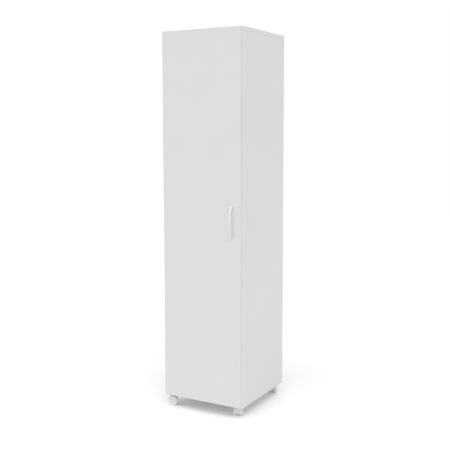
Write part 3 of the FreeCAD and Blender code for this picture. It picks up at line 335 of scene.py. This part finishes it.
# Low and high are the limits of roughness, grain is a scale per metre.
MATERIALS = {
    "white_back": back_board_material(),
    "dowel_wood": beech_material(),
    "zinc_steel": metal_material("zinc_plate", ZINC, low=0.24, high=0.46),
    "cam_alloy": metal_material("cast_alloy", ALLOY, low=0.42, high=0.62),
    "hinge_nickel": metal_material("nickel_plate", NICKEL, low=0.16, high=0.32, streak=(1, 0.1, 1)),
    "handle_white": plastic_material(
        "white_lacquer", WHITE_LACQUER, low=0.26, high=0.40, grain=700, depth=0.012 * MM
    ),
    "castor_plastic": plastic_material(
        "castor_shell", WHITE_PLASTIC, low=0.40, high=0.56, grain=1500, depth=0.03 * MM
    ),
    "wheel_plastic": plastic_material(
        "castor_wheel", WHITE_PLASTIC, low=0.34, high=0.50, grain=1200, depth=0.02 * MM
    ),
    "bumper_rubber": plastic_material(
        "soft_bumper", WHITE_PLASTIC, low=0.30, high=0.42, grain=900, depth=0.01 * MM
    ),
}


def paint(piece, material):
    """Give a piece one material all over."""
    piece.data.materials.clear()
    piece.data.materials.append(material)


def paint_cad_nodes():
    """Every node of the frame gets the material of its slot, and each board one of its own."""
    for entry in frame["record"]["subparts"]:
        node = entry["node"]
        is_board = node in BOARDS
        material = board_material(node) if is_board else MATERIALS[entry["material_slot"]]
        paint(frame["nodes"][node], material)


# Mesh helpers.


def put_in_scene(name, data):
    """A new object in the scene."""
    item = bpy.data.objects.new(name, data)
    bpy.context.scene.collection.objects.link(item)
    return item


def add_piece(name, mesh, body, slot, replaced, sharp_angle=35):
    """Put a mesh in the scene as a piece on a body, in place of some nodes."""
    mesh.validate()
    mesh.shade_smooth()
    mesh.set_sharp_from_angle(angle=math.radians(sharp_angle))
    piece = put_in_scene(name, mesh)
    paint(piece, MATERIALS[slot])
    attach(piece, body)
    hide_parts(*replaced)


def finish_mesh(bm, name):
    """Turn a bmesh into a mesh with its normals outwards."""
    bmesh.ops.recalc_face_normals(bm, faces=bm.faces)
    mesh = bpy.data.meshes.new(name)
    bm.to_mesh(mesh)
    bm.free()
    return mesh


def apply_modifiers(mesh, add_modifiers):
    """The mesh that a set of modifiers makes of another."""
    carrier = put_in_scene("carrier", mesh)
    add_modifiers(carrier)
    depsgraph = bpy.context.evaluated_depsgraph_get()
    result = bpy.data.meshes.new_from_object(carrier.evaluated_get(depsgraph))
    bpy.data.objects.remove(carrier)
    return result


def merged(node):
    """A node's own mesh as a bmesh in which neighbouring faces share their points."""
    bm = bmesh.new()
    bm.from_mesh(frame["nodes"][node].data)
    bmesh.ops.remove_doubles(bm, verts=bm.verts, dist=MERGE_DISTANCE)
    return bm


def islands(node):
    """The box of each separate solid of a node, as its lowest and highest corner, in order."""
    bm = merged(node)
    boxes = []
    left = set(bm.verts)
    while left:
        stack = [left.pop()]
        found = []
        while stack:
            vertex = stack.pop()
            found.append(vertex.co.copy())
            for edge in vertex.link_edges:
                other = edge.other_vert(vertex)
                if other in left:
                    left.remove(other)
                    stack.append(other)
        low = Vector([min(point[axis] for point in found) for axis in range(3)])
        high = Vector([max(point[axis] for point in found) for axis in range(3)])
        boxes.append((low, high))
    bm.free()
    return sorted(boxes, key=lambda box: tuple(box[0]))


def soften(node, slot, width, segments=2):
    """A pressed or moulded piece: the node's own solid with its hard edges rounded over."""

    def round_edges(carrier):
        bevel = carrier.modifiers.new("edges", "BEVEL")
        bevel.width = width
        bevel.segments = segments
        bevel.limit_method = "ANGLE"
        bevel.angle_limit = HARD_EDGE
        bevel.use_clamp_overlap = True

    bm = merged(node)
    bmesh.ops.dissolve_limit(
        bm, angle_limit=FLAT_ANGLE, verts=bm.verts, edges=bm.edges, use_dissolve_boundaries=False
    )
    mesh = apply_modifiers(finish_mesh(bm, f"{node}_sharp"), round_edges)
    add_piece(f"{node}_finish", mesh, BODY_OF[node], slot, [node], sharp_angle=30)


def join_rings(bm, rings):
    """Faces between each ring of points and the next. A ring of one point closes to it."""
    for lower, upper in zip(rings, rings[1:]):
        sides = max(len(lower), len(upper))
        for step in range(sides):
            following = (step + 1) % sides
            if len(lower) == 1:
                bm.faces.new((lower[0], upper[step], upper[following]))
            elif len(upper) == 1:
                bm.faces.new((lower[following], lower[step], upper[0]))
            else:
                bm.faces.new((lower[step], upper[step], upper[following], lower[following]))


def lathe(bm, profile, sides, placing, depth_at=None):
    """Turn a profile of (radius, height) about Z and place it. Radius 0 closes it with a point."""
    rings = []
    for radius, height in profile:
        if radius == 0:
            rings.append([bm.verts.new(placing @ Vector((0, 0, height)))])
            continue
        ring = []
        for step in range(sides):
            angle = 2 * math.pi * step / sides
            sunk = depth_at(radius, angle, height) if depth_at else 0
            point = Vector((radius * math.cos(angle), radius * math.sin(angle), height - sunk))
            ring.append(bm.verts.new(placing @ point))
        rings.append(ring)
    join_rings(bm, rings)


def placing_at(point, direction, spin=0.0):
    """The matrix that puts the origin at a point and turns Z to a direction."""
    turn = UP.rotation_difference(direction).to_matrix().to_4x4()
    return Matrix.Translation(point) @ turn @ Matrix.Rotation(spin, 4, "Z")


def arc_points(centre, radius, start, end, count):
    """Points of an arc in the plane, angles in degrees."""
    points = []
    for step in range(count + 1):
        angle = math.radians(start + (end - start) * step / count)
        x, y = centre[0] + radius * math.cos(angle), centre[1] + radius * math.sin(angle)
        points.append((x, y))
    return points


# Screws.


def screw_blank(shank_radius, shank_length, head_radius, head_height):
    """A pan head screw along Z without a recess, its head's seat at z = 0."""
    rim, rim_start, rim_steps = 0.35 * head_height, 15, 4
    point = 0.5 * shank_radius
    profile = [(0, -shank_length), (shank_radius - point, -shank_length)]
    profile += [(shank_radius, point - shank_length), (shank_radius, 0)]
    profile += [(head_radius, 0), (head_radius, head_height - rim)]
    rim_centre = (head_radius - rim, head_height - rim)
    profile += arc_points(rim_centre, rim, rim_start, 90, rim_steps) + [(0, head_height)]
    bm = bmesh.new()
    lathe(bm, profile, SCREW_SIDES, Matrix.Identity(4))
    return finish_mesh(bm, "screw_blank")


def cross_cutter(head_radius, head_height):
    """The tool that cuts a cross recess: two bars that narrow towards their lower ends."""
    reach, slot, floor = 0.58 * head_radius, 0.17 * head_radius, 0.35 * head_height
    narrowing, flattening = 0.35, 0.6
    bm = bmesh.new()
    for spin in (0, math.pi / 2):
        top = [(reach, slot), (-reach, slot), (-reach, -slot), (reach, -slot)]
        turn = Matrix.Rotation(spin, 4, "Z")
        upper = [bm.verts.new(turn @ Vector((x, y, head_height + slot))) for x, y in top]
        low = [(narrowing * x, flattening * y) for x, y in top]
        lower = [bm.verts.new(turn @ Vector((x, y, floor))) for x, y in low]
        bm.faces.new(upper)
        bm.faces.new(lower[::-1])
        for step in range(4):
            following = (step + 1) % 4
            bm.faces.new((upper[step], lower[step], lower[following], upper[following]))
    return finish_mesh(bm, "recess")


def screw_master(shank_radius, shank_length, head_radius, head_height):
    """A pan head screw along Z with a cross recess, its head's seat at z = 0."""
    recess = put_in_scene("recess", cross_cutter(head_radius, head_height))

    def cut_recess(carrier):
        cut = carrier.modifiers.new("recess", "BOOLEAN")
        cut.operation = "DIFFERENCE"
        cut.solver = "EXACT"
        cut.use_self = True
        cut.object = recess

    blank = screw_blank(shank_radius, shank_length, head_radius, head_height)
    mesh = apply_modifiers(blank, cut_recess)
    bpy.data.objects.remove(recess)
    return mesh


def add_screw_set(node, direction, head_radius, head_height, shank_radius):
    """The screws of a node, each turned to an angle of its own. Their heads face a direction."""
    direction = Vector(direction)
    axis = max(range(3), key=lambda index: abs(direction[index]))
    boxes = islands(node)
    length = boxes[0][1][axis] - boxes[0][0][axis]
    master = screw_master(shank_radius, length - head_height, head_radius, head_height)
    bm = bmesh.new()
    for number, (low, high) in enumerate(boxes):
        seat = (low + high) / 2
        head_end = high[axis] if direction[axis] > 0 else low[axis]
        seat[axis] = head_end - direction[axis] * head_height
        copy = master.copy()
        copy.transform(placing_at(seat, direction, spin=SCREW_TURN * number))
        bm.from_mesh(copy)
        bpy.data.meshes.remove(copy)
    mesh = finish_mesh(bm, node)
    add_piece(f"{node}_finish", mesh, BODY_OF[node], "zinc_steel", [node])


def add_screws():
    """All screws of the cupboard. Sizes in mm: head radius, head height, shank radius."""
    kinds = (
        ("hinge_cup_screws", (0, 1, 0), 3.2, 1.6, 1.8),
        ("hinge_plate_screws", (1, 0, 0), 3.9, 1.6, 2.5),
        ("hinge_arm_screws", (1, 0, 0), 3.9, 1.6, 2.0),
        ("castor_screws", (0, 0, -1), 3.2, 1.6, 1.8),
        ("handle_screws", (0, 1, 0), 3.9, 2.4, 2.0),
    )
    for node, direction, *sizes_mm in kinds:
        add_screw_set(node, direction, *(size * MM for size in sizes_mm))


# Handle.


def signed_power(value, power):
    """A power of a number's size, with the number's own sign."""
    return math.copysign(abs(value) ** power, value)


def bar_section(width):
    """The bar's section: flat at the back, crowned at the front, with full sides."""
    section = []
    for step in range(BAR_SIDES):
        angle = 2 * math.pi * step / BAR_SIDES
        across = signed_power(math.cos(angle), SIDE_POWER) * width / 2
        raised = math.sin(angle)
        power = CROWN_POWER if raised > 0 else BACK_POWER
        section.append((across, signed_power(raised, power) * BAR_THICKNESS / 2))
    return section


def add_handle():
    """The bow handle: a crowned bar bent to an arc and cut square at its ends, on two feet."""
    low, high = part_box("handle")
    middle = (low + high) / 2
    length, width = high.z - low.z, high.x - low.x
    rise = high.y - low.y - END_RISE
    bow_radius = (length**2 / 4 + rise**2) / (2 * rise)
    centre = Vector((middle.x, low.y + bow_radius, middle.z))
    sweep = math.asin(length / 2 / bow_radius) * BAR_OVERSHOOT

    bm = bmesh.new()
    section = bar_section(width)
    rings = []
    for station in range(BAR_STATIONS + 1):
        angle = sweep * (2 * station / BAR_STATIONS - 1)
        away = Vector((0, -math.cos(angle), math.sin(angle)))
        ring = []
        for across, out in section:
            reach = bow_radius - BAR_THICKNESS / 2 + out
            ring.append(bm.verts.new(centre + away * reach + Vector((across, 0, 0))))
        rings.append(ring)
    join_rings(bm, rings)
    for point, normal in ((high, (0, 1, 0)), (high, (0, 0, 1)), (low, (0, 0, -1))):
        whole = bm.verts[:] + bm.edges[:] + bm.faces[:]
        bmesh.ops.bisect_plane(bm, geom=whole, plane_co=point, plane_no=normal, clear_outer=True)
        bmesh.ops.holes_fill(bm, edges=[edge for edge in bm.edges if edge.is_boundary])
    foot = [(0, 0), (FOOT_RADIUS, 0), (FOOT_RADIUS, FOOT_HEIGHT), (0, FOOT_HEIGHT)]
    for side in (-0.5, 0.5):
        seat = Vector((middle.x, high.y, middle.z + side * HOLE_SPAN))
        lathe(bm, foot, FOOT_SIDES, placing_at(seat, Vector((0, -1, 0))))
    mesh = finish_mesh(bm, "bow_handle")
    add_piece("bow_handle", mesh, "door", "handle_white", ["handle"], sharp_angle=50)


# Castors, hinges and bumpers.


def wheel_profile(radius):
    """Half a wheel's section as (radius, place along the axle), from its back to its face."""
    face, back = WHEEL_WIDTH / 2, -WHEEL_WIDTH / 2
    bore_end, dish_floor = back + BORE_DEPTH, face - DISH_DEPTH
    shoulder = radius - TREAD_ROUNDING
    profile = [(0, bore_end), (BORE_RADIUS, bore_end), (BORE_RADIUS, back)]
    profile += arc_points((shoulder, back + TREAD_ROUNDING), TREAD_ROUNDING, -90, 0, TREAD_STEPS)
    for share in GROOVE_PLACES:
        line = share * WHEEL_WIDTH
        floor = radius - GROOVE_DEPTH
        profile += [(radius, line - GROOVE_HALF_TOP), (floor, line - GROOVE_HALF_FLOOR)]
        profile += [(floor, line + GROOVE_HALF_FLOOR), (radius, line + GROOVE_HALF_TOP)]
    profile += arc_points((shoulder, face - TREAD_ROUNDING), TREAD_ROUNDING, 0, 90, TREAD_STEPS)
    profile += [(DISH_RADIUS + LIP, face), (DISH_RADIUS, face - LIP)]
    profile += [(DISH_RADIUS - LIP, dish_floor)]
    for share in POCKET_SHARES:
        profile.append((POCKET_OUTER + (POCKET_INNER - POCKET_OUTER) * share, dish_floor))
    profile += [(CAP_RADIUS + LIP, dish_floor), (CAP_RADIUS, dish_floor + LIP)]
    profile += [(CAP_RADIUS, face - CAP_BEVEL), (CAP_RADIUS - CAP_BEVEL, face - CAP_STEP)]
    return profile + [(CAP_RADIUS / 2, face), (0, face)]


def pocket_depth(ring_radius, angle, height):
    """How deep a point of the wheel's dish is sunk between the spokes."""
    on_dish = math.isclose(height, WHEEL_WIDTH / 2 - DISH_DEPTH, abs_tol=MERGE_DISTANCE)
    if not on_dish or not POCKET_INNER < ring_radius < POCKET_OUTER:
        return 0
    turn = (angle * SPOKES / (2 * math.pi)) % 1
    return POCKET_DEPTH if SPOKE_SHARE / 2 < turn < 1 - SPOKE_SHARE / 2 else 0


def add_wheel(castor, hand):
    """A moulded wheel: a rounded tread with grooves, and a dished face with spokes and a cap."""
    node = f"{castor}_castor_{hand}_wheel"
    joint = JOINTS[f"{node}_spin"]
    low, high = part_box(f"{castor}_castor_housing")
    outwards = Vector(joint["axis"]).normalized()
    hub = Vector(joint["pos_m"])
    if (hub - (low + high) / 2).dot(outwards) < 0:
        outwards = -outwards
    bm = bmesh.new()
    lathe(bm, wheel_profile(hub.z), WHEEL_SIDES, placing_at(hub, outwards), pocket_depth)
    mesh = finish_mesh(bm, node)
    add_piece(f"{node}_finish", mesh, node, "wheel_plastic", [node], sharp_angle=32)


def add_castors():
    """The castors: moulded housings, pressed plates and spoked wheels."""
    for castor in CASTORS:
        soften(f"{castor}_castor_housing", "castor_plastic", HOUSING_ROUNDING, HOUSING_STEPS)
        soften(f"{castor}_castor_plate", "zinc_steel", PLATE_ROUNDING)
        for hand in ("left", "right"):
            add_wheel(castor, hand)


def add_hinges():
    """The pressed hinge pieces with their edges rounded over."""
    for hinge in HINGES:
        for kind, width in HINGE_ROUNDING.items():
            soften(f"{hinge}_hinge_{kind}", "hinge_nickel", width)


def add_bumpers():
    """Two white domed buttons on the door's inner face."""
    bm = bmesh.new()
    for low, high in islands("door_bumpers"):
        seat = (low + high) / 2
        seat.y = low.y
        height, radius = high.y - low.y, (high.x - low.x) / 2
        rise = height - BUMPER_WALL
        profile = [(0, 0), (radius, 0)]
        for degrees in range(0, 90, DOME_STEP):
            angle = math.radians(degrees)
            profile.append((radius * math.cos(angle), BUMPER_WALL + rise * math.sin(angle)))
        profile.append((0, height))
        lathe(bm, profile, BUMPER_SIDES, placing_at(seat, Vector((0, 1, 0))))
    mesh = finish_mesh(bm, "door_bumpers")
    add_piece("door_bumper_domes", mesh, "door", "bumper_rubber", ["door_bumpers"])


# Stage, light and camera.


def camera_mask(tree):
    """1 for rays that should see the white background: camera, glossy and transmission rays."""
    path = tree.nodes.new("ShaderNodeLightPath")
    total = path.outputs["Is Camera Ray"]
    for output in ("Is Glossy Ray", "Is Transmission Ray"):
        node = tree.nodes.new("ShaderNodeMath")
        node.operation = "MAXIMUM"
        tree.links.new(total, node.inputs[0])
        tree.links.new(path.outputs[output], node.inputs[1])
        total = node.outputs["Value"]
    return total


def add_world(ambient):
    """Plain white surroundings that the camera sees as white, and that light the object evenly."""
    world = bpy.data.worlds.new("studio")
    bpy.context.scene.world = world
    world.use_nodes = True
    tree = world.node_tree
    seen, light = tree.nodes["Background"], tree.nodes.new("ShaderNodeBackground")
    for background, strength in ((seen, 1.0), (light, ambient)):
        background.inputs["Color"].default_value = (*WHITE, 1)
        background.inputs["Strength"].default_value = strength
    mix = tree.nodes.new("ShaderNodeMixShader")
    tree.links.new(camera_mask(tree), mix.inputs["Fac"])
    tree.links.new(light.outputs["Background"], mix.inputs[1])
    tree.links.new(seen.outputs["Background"], mix.inputs[2])
    tree.links.new(mix.outputs["Shader"], tree.nodes["World Output"].inputs["Surface"])


def add_floor(lift):
    """A wide pale floor. Well lit it looks white to the camera, and shadows stay on it."""
    half = FLOOR_HALF
    mesh = bpy.data.meshes.new("floor")
    corners = [(-half, -half, 0), (half, -half, 0), (half, half, 0), (-half, half, 0)]
    mesh.from_pydata(corners, [], [(0, 1, 2, 3)])
    floor = put_in_scene("floor", mesh)
    graph = Graph("pale_floor")
    graph.shader.inputs["Base Color"].default_value = (*FLOOR, 1)
    graph.shader.inputs["Roughness"].default_value = FLOOR_ROUGHNESS
    graph.shader.inputs["Specular IOR Level"].default_value = FLOOR_GLOSS
    glow = graph.node("ShaderNodeEmission")
    glow.inputs["Color"].default_value = (*WHITE, 1)
    graph.link(graph.math("MULTIPLY", camera_mask(graph.tree), lift), glow.inputs["Strength"])
    both = graph.node("ShaderNodeAddShader")
    graph.link(graph.shader.outputs["BSDF"], both.inputs[0])
    graph.link(glow.outputs["Emission"], both.inputs[1])
    graph.link(both.outputs["Shader"], graph.tree.nodes["Material Output"].inputs["Surface"])
    paint(floor, graph.material)


def add_sun(name, azimuth, elevation, strength, spread):
    """Soft parallel light. Azimuth counts from the front towards +X. All angles are in degrees."""
    lamp = bpy.data.lights.new(name, "SUN")
    lamp.energy = strength
    lamp.angle = math.radians(spread)
    holder = put_in_scene(name, lamp)
    around, above = math.radians(azimuth), math.radians(elevation)
    level = math.cos(above)
    source = Vector((math.sin(around) * level, -math.cos(around) * level, math.sin(above)))
    holder.location = source * SUN_DISTANCE
    holder.rotation_euler = (-source).to_track_quat("-Z", "Y").to_euler()


def add_camera():
    """The camera at the photo's viewing angle."""
    data = bpy.data.cameras.new("camera")
    data.sensor_width = SENSOR_MM
    data.lens = FOCAL_PIXELS / PICTURE_PIXELS * SENSOR_MM
    data.shift_y = -CENTRE_RISE / PICTURE_PIXELS
    data.clip_end = CAMERA_REACH
    camera = put_in_scene("camera", data)
    camera.location = CAMERA_PLACE
    turn = Matrix.Rotation(math.radians(CAMERA_TURN), 4, "Z")
    tilt = Matrix.Rotation(math.radians(90 - CAMERA_TILT), 4, "X")
    roll = Matrix.Rotation(math.radians(CAMERA_ROLL), 4, "Z")
    camera.rotation_euler = (turn @ tilt @ roll).to_euler()
    bpy.context.scene.camera = camera


bpy.context.scene.view_settings.view_transform = "Standard"
add_camera()
add_world(ambient=0.70)
add_floor(lift=0.17)
add_sun("left_key", azimuth=-12, elevation=58, strength=0.78, spread=45)
add_sun("right_key", azimuth=45, elevation=60, strength=0.44, spread=14)
add_sun("side_fill", azimuth=88, elevation=45, strength=0.32, spread=50)
paint_cad_nodes()
add_screws()
add_handle()
add_bumpers()
add_hinges()
add_castors()
